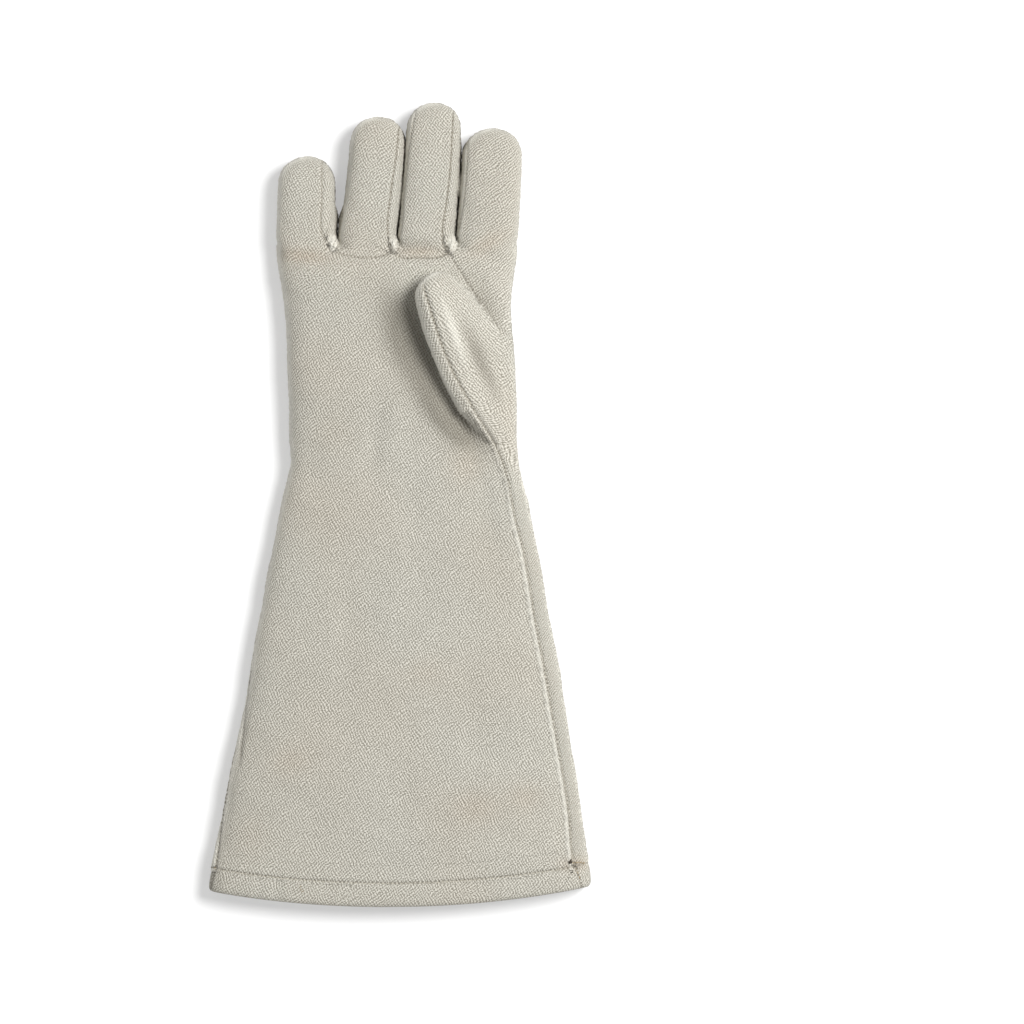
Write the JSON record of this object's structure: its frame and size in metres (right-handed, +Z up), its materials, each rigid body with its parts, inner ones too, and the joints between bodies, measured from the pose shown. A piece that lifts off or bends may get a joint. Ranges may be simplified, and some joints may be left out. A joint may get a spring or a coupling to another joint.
{
  "type": "gauntlet glove",
  "caption": "Hollow heat-protective gauntlet glove of thick woven cloth, lying palm up: cut-in finger fronts, fourchettes, a thumb folded over the palm and a long flared cuff with a turned hem",
  "frame": {"origin": "on the surface that the glove lies on, under the middle of its length and of its cuff's width", "axes": "+Y runs from the cuff to the fingertips, +Z up out of the palm, and +X to the thumb's side"},
  "size_m": [0.2176, 0.4566, 0.0463],
  "materials": {
    "back_cloth": "matt, coarse twill weave",
    "palm_cloth": "matt, coarse twill weave",
    "finger_cloth": "matt, coarse twill weave",
    "fourchette_cloth": "matt, coarse twill weave",
    "thumb_cloth": "matt, coarse twill weave",
    "hem_cloth": "matt, coarse twill weave, turned and sewn"
  },
  "bodies": {
    "root": {"back_panel": "back_cloth", "palm_panel": "palm_cloth", "ring_finger_front": "finger_cloth", "middle_finger_front": "finger_cloth", "index_finger_front": "finger_cloth", "little_ring_fourchette": "fourchette_cloth", "ring_middle_fourchette": "fourchette_cloth", "middle_index_fourchette": "fourchette_cloth", "thumb_outer": "thumb_cloth", "thumb_inner": "thumb_cloth", "cuff_hem": "hem_cloth"}
  },
  "joints": []
}
